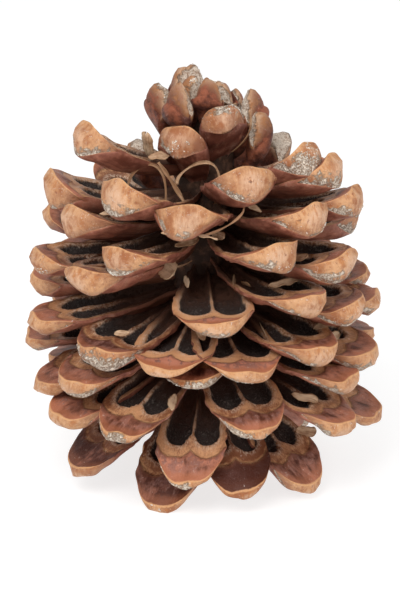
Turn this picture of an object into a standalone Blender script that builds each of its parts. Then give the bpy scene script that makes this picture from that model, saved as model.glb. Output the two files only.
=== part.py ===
"""An open stone-pine cone, standing on the tips of its lowest scales.

The cone grew as one piece, so it is one solid: a short woody axis with every scale fused into it.
Heights and lengths are in millimetres here, and each mesh is scaled to Blender's metres at the end.
A turn is an angle round the axis in degrees: 0 faces the front (-Y), and it grows towards +X.
"""

import math
import random

import bmesh
import bpy
from mathutils import Vector

MM = 0.001
WELD = 0.001
SEED = 11

# Spiral of the scales: each stands one golden angle on from the scale below it.
GOLDEN_ANGLE = 137.508
SPIRAL_START_TURN = -156.5
SPIRAL_COUNT = 88
SPIRAL_FIRST_ROOT = 25.0
SPIRAL_RISE = 0.82
BACK_EDGE_TURN = 94.0
BACK_LOWEST, BACK_HIGHEST = 3.5, 84.0
BACK_REACH = 0.95
NEIGHBOUR_SPACING = 23.0
HEIGHT_WEIGHT = 1.5
SETTLE_ROUNDS = 60
SETTLE_SHARE = 0.2
CLOSEST_START = 0.6

# The woody axis: (height, radius) up its outside, and how far its top leans towards +X.
AXIS_PROFILE = ((9.0, 5.0), (13.0, 7.5), (24.0, 9.0), (60.0, 9.5), (90.0, 8.5), (106.0, 6.5), (113.0, 3.0))
AXIS_SIDES = 12
LEAN = 3.0
LEAN_FROM, LEAN_TO = 88.0, 114.0
ROOT_SINK = 2.5

# How a scale changes with the height of its tip: pairs of (tip height, value).
ROOT_HEIGHT = (
    (2.0, 25.0), (11.0, 31.0), (27.0, 40.0), (47.0, 55.0), (62.0, 65.0),
    (80.0, 77.0), (95.0, 86.0), (104.0, 91.0), (114.0, 97.0), (124.0, 104.0),
)
TIP_RADIUS = (
    (0.0, 39.0), (7.0, 42.0), (11.0, 44.5), (25.0, 51.5), (40.0, 53.0), (70.0, 53.0),
    (80.0, 51.0), (95.0, 47.5), (105.0, 45.0), (112.0, 40.0), (117.0, 28.0), (122.0, 18.0),
)
BOW = ((2.0, 4.0), (27.0, 1.5), (47.0, -1.0), (62.0, -2.5), (80.0, -4.0), (95.0, -5.0), (112.0, -6.0))
HALF_WIDTH = ((2.0, 10.3), (28.0, 11.0), (45.0, 12.0), (62.0, 12.0), (80.0, 11.0), (95.0, 10.5), (113.0, 8.8))
TIP_THICKNESS = ((2.0, 6.0), (27.0, 6.3), (45.0, 7.0), (62.0, 7.3), (80.0, 8.3), (95.0, 9.3), (113.0, 9.0))

# Scales of the front half as (turn, tip height, reach), reach being a share of TIP_RADIUS.
FRONT_SCALES = (
    (-19, 0.2, 1.00), (47, 3.5, 1.03), (15, 6, 1.00), (-57, 6.5, 1.07), (-7, 11, 1.00),
    (79, 18, 1.08), (-58, 24, 1.00), (50, 24, 1.04), (-30, 26, 1.00), (17, 29, 1.00),
    (-70, 31, 1.00), (52, 37, 1.00), (-48, 37, 1.00), (-90, 39, 1.00), (67, 41, 1.00),
    (-6, 43, 0.90), (13, 46.5, 1.00), (-13, 48, 1.00), (39, 49, 1.00), (-38, 49, 1.00),
    (-70, 51, 1.01), (80, 54, 0.97), (56, 59, 1.00), (3, 62, 1.00), (34, 65.5, 1.00),
    (-71, 70, 1.00), (-45, 71.5, 1.00), (53, 74, 1.00), (-29, 79.5, 1.00), (24, 81, 1.00),
    (-53, 87, 1.00), (41, 90, 1.00), (66, 90, 1.00), (-75, 92, 1.00), (-6, 92.5, 1.00),
    (-34, 97, 1.00), (18, 102, 0.95), (58, 100.5, 0.97), (50, 105, 0.90), (-61, 110, 1.03),
)
# Scales just round the sides, whose tips show past the front ones, and the two back feet.
SIDE_SCALES = (
    (135, 0.2, 1.00), (-146, 0.2, 1.00),
    (100, 37.5, 0.95), (103, 56, 0.93), (-95, 57, 0.97),
    (108, 74, 0.90), (-100, 75.5, 0.93), (-140, 82, 0.96),
)
# Closed scales of the top knot as (turn, tip height, tip radius, half width, thickness, root height, bow).
KNOT_SCALES = (
    (-22, 109.5, 24.0, 7.5, 8.5, 92.0, 1.5), (20, 114.5, 15.5, 7.2, 8.0, 98.0, 0.0),
    (-53, 119.5, 12.5, 4.6, 7.0, 101.4, -5.9), (-97, 117.5, 15.0, 4.6, 7.0, 97.8, -6.5),
    (-141, 120.5, 11.5, 6.5, 7.0, 103.0, -5.5), (-100, 119.5, 6.5, 4.0, 6.0, 105.3, -3.8),
    (-20, 120.5, 5.0, 4.0, 6.0, 107.2, -3.2), (150, 117.5, 5.0, 4.0, 6.0, 104.2, -3.2),
    (137, 113.5, 11.5, 4.0, 6.0, 96.0, -5.5), (94, 115.5, 13.0, 4.6, 6.5, 97.0, -6.0),
    (80, 110.0, 16.5, 4.6, 6.5, 89.3, -6.5), (178, 109.0, 16.0, 5.0, 6.0, 88.6, -6.5),
    (-165, 101.0, 28.0, 7.0, 7.0, 81.2, -2.5), (158, 103.0, 26.0, 7.0, 7.0, 83.9, -2.5),
    (124, 98.0, 28.0, 6.5, 7.0, 78.2, -2.5), (-120, 97.0, 24.0, 6.0, 7.0, 78.6, -2.5),
)
# Small barren scales round the stalk as a short spiral under the lowest full ones.
BARREN_COUNT = 9
BARREN_RADIUS, BARREN_TIP_HEIGHT, BARREN_ROOT_HEIGHT = 21.0, 8.5, 17.0
BARREN_HALF_WIDTH, BARREN_THICKNESS, BARREN_BOW = 5.5, 3.5, 1.5

# How much the scales differ: a share of their size, mm of bow, degrees of roll and mm of a barren tip.
SIZE_SPREAD, BOW_SPREAD, ROLL, BARREN_SPREAD = 0.04, 0.6, 5.0, 1.5

# Shape of one scale: stations from root (0) to crest (1), each with shares of width and thickness.
STATIONS = (0.0, 0.38, 0.70, 1.0)
WIDTH_SHARE = (0.30, 0.80, 1.0, 0.93)
TOP_SHARE = (0.26, 0.28, 0.36, 0.50)
UNDER_SHARE = (0.26, 0.28, 0.43, 0.50)
HOLLOW_DEPTH = (0.0, 2.1, 0.2, 0.0)
# Points round one station as (across, side): 5 over the top from -1 to 1, and 3 below.
AROUND = ((-1.0, 0), (-0.6, 1), (0.0, 1), (0.6, 1), (1.0, 0), (0.62, -1), (0.0, -1), (-0.62, -1))
EDGE_LIFT = (0.0, 0.4, 0.4, 0.0)
CLOSED_EDGE_DROP = 0.3
UNDER_RISE = 0.45
TIP_ROUNDING = 0.18
FACE_SLANT = 0.55
UMBO_BULGE = 1.8
UMBO_DROP = 0.08
STAND_HEIGHT = 0.0


def profile(pairs, at):
    """Value at one point of a list of (position, value) pairs, straight between them."""
    if at <= pairs[0][0]:
        return pairs[0][1]
    for (low, first), (high, second) in zip(pairs, pairs[1:]):
        if at <= high:
            return first + (second - first) * (at - low) / (high - low)
    return pairs[-1][1]


def wrapped(turn):
    """The same turn between -180 and 180."""
    return (turn + 180.0) % 360.0 - 180.0


def lean_at(height):
    share = min(1.0, max(0.0, (height - LEAN_FROM) / (LEAN_TO - LEAN_FROM)))
    return LEAN * share * share * (3.0 - 2.0 * share)


def apart(first, second):
    """Step from one (turn, tip height) to another in mm over the cone's outside."""
    radius = profile(TIP_RADIUS, 0.5 * (first[1] + second[1]))
    along = math.radians(wrapped(second[0] - first[0])) * radius
    return Vector((along, HEIGHT_WEIGHT * (second[1] - first[1])))


def back_scales(fixed):
    """Spiral scales of the unseen half, eased off each other and off the fixed ones."""
    tip_of_root = tuple((root, tip) for tip, root in ROOT_HEIGHT)
    free = []
    for index in range(SPIRAL_COUNT):
        turn = wrapped(SPIRAL_START_TURN - GOLDEN_ANGLE * index)
        tip = profile(tip_of_root, SPIRAL_FIRST_ROOT + SPIRAL_RISE * index)
        near = min(apart((turn, tip), other).length for other in fixed)
        if abs(turn) > BACK_EDGE_TURN and tip < BACK_HIGHEST and near > CLOSEST_START * NEIGHBOUR_SPACING:
            free.append([turn, tip])
    for _ in range(SETTLE_ROUNDS):
        for scale in free:
            push = Vector((0.0, 0.0))
            for other in list(fixed) + [each for each in free if each is not scale]:
                step = apart(other, scale)
                if 0.0 < step.length < NEIGHBOUR_SPACING:
                    push += step.normalized() * (NEIGHBOUR_SPACING - step.length)
            radius = profile(TIP_RADIUS, scale[1])
            scale[0] = wrapped(scale[0] + math.degrees(SETTLE_SHARE * push.x / radius))
            scale[1] = min(BACK_HIGHEST, max(BACK_LOWEST, scale[1] + SETTLE_SHARE * push.y / HEIGHT_WEIGHT))
    return free


def direction(turn):
    angle = math.radians(turn)
    return Vector((math.sin(angle), -math.cos(angle), 0.0))


class Scale:
    """Where one scale runs and how big it is; point() gives any place on its surface.

    Openness is 1 for an open scale, flat on top with its two hollows, and 0 for a closed, rounded one.
    """

    def __init__(self, turn, tip_height, tip_radius, root_height, bow, half_width, thickness,
                 openness, roll=0.0):
        self.out = direction(turn)
        self.across = Vector((-self.out.y, self.out.x, 0.0))
        radius = profile(AXIS_PROFILE, root_height)
        self.start = Vector((radius - ROOT_SINK, root_height))
        self.end = Vector((tip_radius, tip_height))
        chord = self.end - self.start
        self.length = chord.length
        self.bend = 0.5 * (self.start + self.end) + bow * Vector((-chord.y, chord.x)).normalized()
        self.half_width, self.thickness = half_width, thickness
        self.openness = openness
        self.roll = math.radians(roll)
        self.centre = Vector((lean_at(root_height), 0.0, 0.0))

    def spine(self, along):
        """Point and upward normal of the middle line, both as (radius, height)."""
        at = (1 - along) ** 2 * self.start + 2 * along * (1 - along) * self.bend + along ** 2 * self.end
        run = 2 * (1 - along) * (self.bend - self.start) + 2 * along * (self.end - self.bend)
        run.normalize()
        return at, Vector((-run.y, run.x))

    def place(self, along, sideways, lift):
        at, normal = self.spine(along)
        turn = self.roll * along
        side = sideways * math.cos(turn) - lift * math.sin(turn)
        rise = sideways * math.sin(turn) + lift * math.cos(turn)
        radial = at + rise * normal
        return self.centre + self.out * radial.x + self.across * side + Vector((0.0, 0.0, radial.y))

    def point(self, station, around):
        share = STATIONS[station]
        across, side = AROUND[around]
        along = share * (1.0 - TIP_ROUNDING * abs(across * share) ** 3)
        if side > 0:
            lift = self.thickness * TOP_SHARE[station]
            if across != 0.0:
                lift -= HOLLOW_DEPTH[station] * self.openness
        elif side < 0:
            lift = -self.thickness * UNDER_SHARE[station] * (1.0 - UNDER_RISE * abs(across))
            if station == len(STATIONS) - 1:
                along -= FACE_SLANT * self.thickness * 0.5 / self.length
        else:
            lift = self.thickness * (TOP_SHARE[station] - CLOSED_EDGE_DROP * (1.0 - self.openness))
            lift += EDGE_LIFT[station] * self.openness
        return self.place(along, across * self.half_width * WIDTH_SHARE[station], lift)

    def umbo(self):
        """The blunt point in the middle of the outer face."""
        return self.place(1.0 + UMBO_BULGE / self.length, 0.0, -UMBO_DROP * self.thickness)


def scale_mesh(scale, name):
    """One scale as a lofted tube of eight sides, closed at the root and domed at the tip."""
    rings, sides = len(STATIONS) - 1, len(AROUND)
    shape = bmesh.new()
    bmesh.ops.create_grid(shape, x_segments=rings, y_segments=sides, size=1.0)
    for vert in shape.verts:
        station = round((vert.co.x + 1.0) / 2.0 * rings)
        around = round((vert.co.y + 1.0) / 2.0 * sides) % sides
        vert.co = scale.point(station, around)
    bmesh.ops.remove_doubles(shape, verts=shape.verts, dist=WELD)
    open_edges = [edge for edge in shape.edges if edge.is_boundary]
    caps = bmesh.ops.holes_fill(shape, edges=open_edges, sides=sides)["faces"]
    tip_at = scale.place(1.0, 0.0, 0.0)
    tip_cap = min(caps, key=lambda face: (face.calc_center_median() - tip_at).length)
    centre = bmesh.ops.poke(shape, faces=[tip_cap])["verts"][0]
    centre.co = scale.umbo()
    bmesh.ops.triangulate(shape, faces=[face for face in shape.faces if len(face.verts) > 4])
    bmesh.ops.recalc_face_normals(shape, faces=shape.faces)
    return finished(shape, name)


def finished(shape, name):
    """Scales a millimetre mesh to metres and puts it in an object of its own."""
    bmesh.ops.scale(shape, vec=(MM, MM, MM), verts=shape.verts)
    mesh = bpy.data.meshes.new(name)
    shape.to_mesh(mesh)
    shape.free()
    piece = bpy.data.objects.new(name, mesh)
    bpy.context.scene.collection.objects.link(piece)
    return piece


def axis_mesh():
    """The woody axis: a turned profile that leans at its top."""
    shape = bmesh.new()
    heights = [AXIS_PROFILE[0]] + list(AXIS_PROFILE) + [AXIS_PROFILE[-1]]
    outline = [(0.0 if index in (0, len(heights) - 1) else radius, height)
               for index, (height, radius) in enumerate(heights)]
    verts = [shape.verts.new((radius, 0.0, height)) for radius, height in outline]
    edges = [shape.edges.new(pair) for pair in zip(verts, verts[1:])]
    bmesh.ops.spin(shape, geom=verts + edges, cent=(0, 0, 0), axis=(0, 0, 1), angle=math.tau,
                   steps=AXIS_SIDES, use_merge=True)
    bmesh.ops.remove_doubles(shape, verts=shape.verts, dist=WELD)
    for vert in shape.verts:
        vert.co.x += lean_at(vert.co.z)
    bmesh.ops.recalc_face_normals(shape, faces=shape.faces)
    return finished(shape, "cone")


def full_scales(draw):
    """The open, seed-bearing scales: the front ones as listed, the back ones by the spiral."""
    fixed = FRONT_SCALES + SIDE_SCALES
    listed = list(fixed) + [(turn, tip, BACK_REACH) for turn, tip in back_scales(fixed)]
    scales = []
    for turn, tip, reach in listed:
        size = 1.0 + draw.uniform(-SIZE_SPREAD, SIZE_SPREAD)
        scales.append(Scale(
            turn, tip, profile(TIP_RADIUS, tip) * reach, profile(ROOT_HEIGHT, tip),
            profile(BOW, tip) + draw.uniform(-BOW_SPREAD, BOW_SPREAD),
            profile(HALF_WIDTH, tip) * size, profile(TIP_THICKNESS, tip) * size,
            1.0, draw.uniform(-ROLL, ROLL)))
    return scales


def knot_scales(draw):
    """The closed finger-like scales of the top, which stand almost upright."""
    scales = []
    for turn, tip, radius, half_width, thickness, root, bow in KNOT_SCALES:
        scales.append(Scale(turn, tip, radius, root, bow, half_width, thickness, 0.0,
                            draw.uniform(-ROLL, ROLL)))
    return scales


def barren_scales(draw):
    """The small scales round the stalk, which carried no seeds."""
    scales = []
    for index in range(BARREN_COUNT):
        turn = wrapped(SPIRAL_START_TURN + GOLDEN_ANGLE * (index + 1))
        scales.append(Scale(turn, BARREN_TIP_HEIGHT + draw.uniform(-BARREN_SPREAD, BARREN_SPREAD),
                            BARREN_RADIUS + draw.uniform(-BARREN_SPREAD, BARREN_SPREAD), BARREN_ROOT_HEIGHT,
                            BARREN_BOW, BARREN_HALF_WIDTH, BARREN_THICKNESS, 0.0))
    return scales


def fuse(body, pieces):
    """One Boolean union of all the pieces into the body, applied, with the pieces then removed."""
    grown = bpy.data.collections.new("scales to fuse")
    for piece in pieces:
        grown.objects.link(piece)
    union = body.modifiers.new("union of scales", "BOOLEAN")
    union.operation = "UNION"
    union.operand_type = "COLLECTION"
    union.solver = "EXACT"
    union.collection = grown
    graph = bpy.context.evaluated_depsgraph_get()
    fused = bpy.data.meshes.new_from_object(body.evaluated_get(graph))
    body.modifiers.clear()
    body.data = fused
    for piece in pieces:
        bpy.data.objects.remove(piece)
    bpy.data.collections.remove(grown)


def keep_outer_skin(shape):
    """Fills each small hollow that fusing sealed, by removing every skin but the outer one."""
    unseen, skins = set(shape.faces), []
    while unseen:
        skin, front = set(), [unseen.pop()]
        while front:
            face = front.pop()
            skin.add(face)
            for edge in face.edges:
                if len(edge.link_faces) == 2:
                    found = unseen.intersection(edge.link_faces)
                    unseen -= found
                    front.extend(found)
        skins.append(skin)
    outer = max(skins, key=len)
    inner = [face for face in shape.faces if face not in outer]
    bmesh.ops.delete(shape, geom=inner, context="FACES")


def settle(body):
    """Cuts the lowest tips flat to stand on, and centres the cone's box over the origin."""
    shape = bmesh.new()
    shape.from_mesh(body.data)
    everything = shape.verts[:] + shape.edges[:] + shape.faces[:]
    cut = bmesh.ops.bisect_plane(shape, geom=everything, plane_co=(0, 0, STAND_HEIGHT), plane_no=(0, 0, 1),
                                 clear_inner=True)["geom_cut"]
    bmesh.ops.holes_fill(shape, edges=[part for part in cut if isinstance(part, bmesh.types.BMEdge)], sides=0)
    bmesh.ops.triangulate(shape, faces=shape.faces)
    keep_outer_skin(shape)
    for axis in (0, 1):
        values = [vert.co[axis] for vert in shape.verts]
        shift = [0.0, 0.0, 0.0]
        shift[axis] = -0.5 * (min(values) + max(values))
        bmesh.ops.translate(shape, vec=shift, verts=shape.verts)
    shape.to_mesh(body.data)
    shape.free()


def bark_brown():
    """Dry scale wood: reddish brown and slightly glossy."""
    material = bpy.data.materials.new("dry cone scale")
    material.use_nodes = True
    surface = material.node_tree.nodes["Principled BSDF"]
    surface.inputs["Base Color"].default_value = (0.30, 0.13, 0.06, 1.0)
    surface.inputs["Roughness"].default_value = 0.5
    surface.inputs["Metallic"].default_value = 0.0
    return material


def main():
    for existing in list(bpy.context.scene.objects):
        bpy.data.objects.remove(existing)
    draw = random.Random(SEED)
    scales = full_scales(draw) + knot_scales(draw) + barren_scales(draw)
    body = axis_mesh()
    fuse(body, [scale_mesh(scale, "scale") for scale in scales])
    settle(body)
    body.data.materials.clear()
    body.data.materials.append(bark_brown())


main()
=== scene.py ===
"""Looks of an open stone-pine cone: fine woody scales, papery seed wings and dried resin over the part.

Heights and lengths are in millimetres here, as in the part's own source, and each mesh ends in metres.
A turn is an angle round the axis in degrees: 0 faces the front (-Y), and it grows towards +X.
"""

import math
import random

import bmesh
import bpy
import numpy as np
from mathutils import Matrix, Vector


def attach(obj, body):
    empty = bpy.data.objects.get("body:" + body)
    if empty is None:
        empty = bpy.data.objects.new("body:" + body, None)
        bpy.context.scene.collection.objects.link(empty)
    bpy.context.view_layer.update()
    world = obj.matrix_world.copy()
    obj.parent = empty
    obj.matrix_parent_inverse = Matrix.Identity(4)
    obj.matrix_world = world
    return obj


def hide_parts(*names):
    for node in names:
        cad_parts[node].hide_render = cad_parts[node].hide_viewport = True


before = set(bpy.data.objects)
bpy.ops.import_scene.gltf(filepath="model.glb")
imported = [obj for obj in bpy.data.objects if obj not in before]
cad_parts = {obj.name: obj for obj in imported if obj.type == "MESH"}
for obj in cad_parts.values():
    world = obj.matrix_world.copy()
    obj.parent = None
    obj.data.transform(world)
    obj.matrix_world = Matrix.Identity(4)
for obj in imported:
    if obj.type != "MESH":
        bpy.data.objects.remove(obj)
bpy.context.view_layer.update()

MM = 0.001
SEED = 11
WHITE = (1.0, 1.0, 1.0, 1.0)

# The placing rule and its values are the part's own, so that every scale lies on its solid.
GOLDEN_ANGLE = 137.508
SPIRAL_START_TURN = -156.5
SPIRAL_COUNT = 88
SPIRAL_FIRST_ROOT = 25.0
SPIRAL_RISE = 0.82
BACK_EDGE_TURN = 94.0
BACK_LOWEST, BACK_HIGHEST = 3.5, 84.0
BACK_REACH = 0.95
NEIGHBOUR_SPACING = 23.0
HEIGHT_WEIGHT = 1.5
SETTLE_ROUNDS = 60
SETTLE_SHARE = 0.2
CLOSEST_START = 0.6

AXIS_PROFILE = ((9.0, 5.0), (13.0, 7.5), (24.0, 9.0), (60.0, 9.5), (90.0, 8.5), (106.0, 6.5), (113.0, 3.0))
LEAN = 3.0
LEAN_FROM, LEAN_TO = 88.0, 114.0
ROOT_SINK = 2.5
CENTRE_SHIFT = (1.08, 1.52)

ROOT_HEIGHT = (
    (2.0, 25.0), (11.0, 31.0), (27.0, 40.0), (47.0, 55.0), (62.0, 65.0),
    (80.0, 77.0), (95.0, 86.0), (104.0, 91.0), (114.0, 97.0), (124.0, 104.0),
)
TIP_RADIUS = (
    (0.0, 39.0), (7.0, 42.0), (11.0, 44.5), (25.0, 51.5), (40.0, 53.0), (70.0, 53.0),
    (80.0, 51.0), (95.0, 47.5), (105.0, 45.0), (112.0, 40.0), (117.0, 28.0), (122.0, 18.0),
)
BOW = ((2.0, 4.0), (27.0, 1.5), (47.0, -1.0), (62.0, -2.5), (80.0, -4.0), (95.0, -5.0), (112.0, -6.0))
HALF_WIDTH = ((2.0, 10.3), (28.0, 11.0), (45.0, 12.0), (62.0, 12.0), (80.0, 11.0), (95.0, 10.5), (113.0, 8.8))
TIP_THICKNESS = ((2.0, 6.0), (27.0, 6.3), (45.0, 7.0), (62.0, 7.3), (80.0, 8.3), (95.0, 9.3), (113.0, 9.0))

# Scales of the front half as (turn, tip height, reach), reach being a share of TIP_RADIUS.
FRONT_SCALES = (
    (-19, 0.2, 1.00), (47, 3.5, 1.03), (15, 6, 1.00), (-57, 6.5, 1.07), (-7, 11, 1.00),
    (79, 18, 1.08), (-58, 24, 1.00), (50, 24, 1.04), (-30, 26, 1.00), (17, 29, 1.00),
    (-70, 31, 1.00), (52, 37, 1.00), (-48, 37, 1.00), (-90, 39, 1.00), (67, 41, 1.00),
    (-6, 43, 0.90), (13, 46.5, 1.00), (-13, 48, 1.00), (39, 49, 1.00), (-38, 49, 1.00),
    (-70, 51, 1.01), (80, 54, 0.97), (56, 59, 1.00), (3, 62, 1.00), (34, 65.5, 1.00),
    (-71, 70, 1.00), (-45, 71.5, 1.00), (53, 74, 1.00), (-29, 79.5, 1.00), (24, 81, 1.00),
    (-53, 87, 1.00), (41, 90, 1.00), (66, 90, 1.00), (-75, 92, 1.00), (-6, 92.5, 1.00),
    (-34, 97, 1.00), (18, 102, 0.95), (58, 100.5, 0.97), (50, 105, 0.90), (-61, 110, 1.03),
)
# Scales just round the sides, whose tips show past the front ones, and the two back feet.
SIDE_SCALES = (
    (135, 0.2, 1.00), (-146, 0.2, 1.00),
    (100, 37.5, 0.95), (103, 56, 0.93), (-95, 57, 0.97),
    (108, 74, 0.90), (-100, 75.5, 0.93), (-140, 82, 0.96),
)
# Closed scales of the top knot as (turn, tip height, tip radius, half width, thickness, root height, bow).
KNOT_SCALES = (
    (-22, 109.5, 24.0, 7.5, 8.5, 92.0, 1.5), (20, 114.5, 15.5, 7.2, 8.0, 98.0, 0.0),
    (-53, 119.5, 12.5, 4.6, 7.0, 101.4, -5.9), (-97, 117.5, 15.0, 4.6, 7.0, 97.8, -6.5),
    (-141, 120.5, 11.5, 6.5, 7.0, 103.0, -5.5), (-100, 119.5, 6.5, 4.0, 6.0, 105.3, -3.8),
    (-20, 120.5, 5.0, 4.0, 6.0, 107.2, -3.2), (150, 117.5, 5.0, 4.0, 6.0, 104.2, -3.2),
    (137, 113.5, 11.5, 4.0, 6.0, 96.0, -5.5), (94, 115.5, 13.0, 4.6, 6.5, 97.0, -6.0),
    (80, 110.0, 16.5, 4.6, 6.5, 89.3, -6.5), (178, 109.0, 16.0, 5.0, 6.0, 88.6, -6.5),
    (-165, 101.0, 28.0, 7.0, 7.0, 81.2, -2.5), (158, 103.0, 26.0, 7.0, 7.0, 83.9, -2.5),
    (124, 98.0, 28.0, 6.5, 7.0, 78.2, -2.5), (-120, 97.0, 24.0, 6.0, 7.0, 78.6, -2.5),
)
# Small barren scales round the stalk as a short spiral under the lowest full ones.
BARREN_COUNT = 9
BARREN_RADIUS, BARREN_TIP_HEIGHT, BARREN_ROOT_HEIGHT = 21.0, 8.5, 17.0
BARREN_HALF_WIDTH, BARREN_THICKNESS, BARREN_BOW = 5.5, 3.5, 1.5

# How much the scales differ: a share of their size, mm of bow, degrees of roll and mm of a barren tip.
SIZE_SPREAD, BOW_SPREAD, ROLL, BARREN_SPREAD = 0.04, 0.6, 5.0, 1.5

# Shape of one scale from root (0) to crest (1), as shares of its width and thickness.
STATIONS = (0.0, 0.38, 0.70, 1.0)
WIDTH_SHARE = (0.30, 0.80, 1.0, 0.93)
TOP_SHARE = (0.26, 0.28, 0.36, 0.50)
UNDER_SHARE = (0.26, 0.28, 0.43, 0.50)
CLOSED_EDGE_DROP = 0.3
TIP_ROUNDING = 0.18
FACE_SLANT = 0.55

# Fine shape in mm: rim, torn edge, seed imprint, crest, outer face and lumps.
RIM_THICKNESS, RIM_LIFT = 0.8, 0.5
EDGE_WAVE, THINNEST = 0.45, 0.6
IMPRINT_REACH, IMPRINT_DEPTH = 3.2, 0.35
CREST_WAVE, CREST_LIFT, CREST_SLANT = 0.6, 0.7, 0.9
CREST_PEAK = ((40.0, 0.4), (62.0, 1.3), (80.0, 2.0), (112.0, 2.2))
FACE_BULGE, KEEL_HEIGHT, UMBO_HEIGHT, UMBO_RADIUS = 1.6, 0.6, 0.6, 1.6
LUMP_HEIGHT, KNOT_LUMP_HEIGHT = 0.34, 0.8
# The two hollows: middle and half width as shares of the scale's half width, the rest in mm.
HOLLOW_ACROSS, HOLLOW_HALF_WIDTH = 0.43, 0.385
HOLLOW_END_LENGTH, HOLLOW_DEPTH = 5.5, 2.3
HOLLOW_FROM_CREST = ((0.0, 14.0), (27.0, 11.5), (47.0, 10.5), (62.0, 9.0), (120.0, 9.0))
# How far to one side the lowest line of an underside may lie, and how full its curve is.
BELLY_LEAN, BELLY_POWER = 0.34, 1.9
# Knobs of the knot: bulge and shortening of the end in mm, swell and taper as shares of the width.
KNOB_BULGE, KNOB_SHORTER, KNOB_SWELL, KNOB_TAPER = 2.0, 0.6, 0.26, 0.20
# A closed scale is a knob when its half width is under the first and its root over the second, in mm.
KNOB_WIDEST, KNOB_LOWEST_ROOT = 7.1, 60.0

AXIS_SIDES, AXIS_STEPS, AXIS_KNOBS = 48, 70, 0.10

# How bright the wood of a scale's top is: about 0 is dark, 1 is bright, and a few go past either end.
# These tones are partly the wood's own and partly painted light and shade: tucked-in tops are set dark,
# well-lit ones bright.
TOP_TONES = {
    (-19, 0.2): 0.15, (47, 3.5): 0.42, (15, 6): -0.5, (-57, 6.5): -0.1, (-7, 11): 0.85, (17, 29): 0.62,
    (-13, 48): 1.5, (13, 46.5): 1.05, (3, 62): 1.2, (-30, 26): 0.5, (20, 114.5): -0.35, (-22, 109.5): 0.0,
}
# How much pale crust an outer face carries, low and to the left, or with a minus sign at the upper right.
CRUSTS = {
    (-7, 11): 1.3, (17, 29): 1.2, (-30, 26): 1.4, (-48, 37): 0.9, (-38, 49): 1.4, (-6, 43): 1.4,
    (13, 46.5): 0.6, (50, 105): 1.0, (-22, 109.5): 0.4, (20, 114.5): -0.7, (-57, 6.5): 0.4,
}
# Front scales with a thinner outer face than the solid's, as a share of it, and the mm their crests drop.
THIN_FACES = {
    (-13, 48): 0.66, (-6, 43): 0.70, (13, 46.5): 0.75, (3, 62): 0.80, (-7, 11): 0.70, (17, 29): 0.80,
    (-30, 26): 0.88,
}
THIN_CREST_DROP = 0.9
# Tones and crusts of the scales not named above, and the one tone of the closed ones.
OTHER_TONES, OTHER_CRUSTS, KNOT_TONE = (0.25, 0.8), (0.1, 0.7), 0.35

# Papery flakes of seed wing, each on the scale with that turn and tip height. They start that many mm back
# from its crest and that share across; then mm of length and width, and degrees of heading (0 towards the
# crest, 90 to the right), of rise, of tilt about its own length and of bend; last, mm above the scale's top.
FLAKES = (
    (-61, 110, 24, 0.5, 9, 5, 20, 55, 0, 10, 0.0), (-61, 110, 20, 0.9, 7, 3, 150, 20, 60, 30, 0.0),
    (-53, 87, 5, 0.65, 11, 3.2, 155, 9, 25, 25, 0.2), (-75, 92, 17, 0.5, 7, 3.5, 150, 6, 10, 0, 0.2),
    (-38, 49, 12, -0.1, 6.5, 2.6, 80, 14, 20, 0, 0.2), (53, 74, 18, -0.75, 8, 4.2, 20, 3, 10, 10, 0.2),
    (39, 49, 13, 0.6, 6, 3, 70, 16, 10, 0, 0.2), (34, 65.5, 16, -0.3, 10, 3.4, 70, 6, 15, 20, 0.3),
    (47, 3.5, 17, 0.75, 5.5, 3.6, 30, 24, 30, 0, 0.0), (-45, 71.5, 26, 0.9, 6.5, 5.5, 70, -10, 50, 20, -2.5),
    (41, 90, 13, -0.9, 8, 2.6, 175, 20, 75, 20, 0.5), (-6, 92.5, 5, -0.75, 9, 3.2, 95, -8, 15, 30, -6.8),
    (-6, 92.5, 6, 0.2, 6, 2.2, 100, -10, 20, 30, -7.2), (3, 62, 34, -0.95, 11, 2.6, 5, 8, 70, 0, 0.6),
    (3, 62, 34, 0.95, 13, 2.8, -5, 6, -70, 0, 0.6), (3, 62, 29, 0.98, 6, 2.2, 20, 14, -55, 0, 0.8),
    (13, 46.5, 26, 0.9, 10, 2.6, -5, 10, -65, 0, 0.6), (13, 46.5, 24, -0.9, 8, 2.2, 5, 8, 65, 0, 0.4),
    (-29, 79.5, 20, 0.7, 9, 3.6, 160, 3, 20, 0, 0.2), (24, 81, 30, -0.9, 10, 3.0, 0, 10, 60, 0, 0.4),
    (17, 29, 26, 0.85, 8, 2.4, 0, 6, -60, 0, 0.3), (-30, 26, 20, 0.9, 8, 3.0, 10, 8, -50, 20, 0.3),
    (50, 24, 18, -0.5, 8, 4.0, 30, 4, 10, 0, 0.2), (-48, 37, 16, 0.3, 8, 3.6, 120, 5, 15, 15, 0.2),
    (67, 41, 15, -0.4, 7, 3.4, 60, 8, 15, 0, 0.2),
)
FLAKE_SHARE, FLAKE_THICKNESS = 0.5, 0.16
# Flakes that chance puts on the unseen scales: share across, mm behind the hollows' front, length and width,
# then degrees of heading, rise, tilt and bend; last, mm above the scale's top.
CHANCE_SIDES, CHANCE_BACK, CHANCE_LENGTH, CHANCE_WIDTH = (-0.5, 0.5), (2.0, 9.0), (6.0, 11.0), (2.6, 4.6)
CHANCE_ANGLES, CHANCE_LIFT = ((-50.0, 50.0), (3.0, 12.0), (-30.0, 30.0), (-40.0, 40.0)), 0.2
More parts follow.
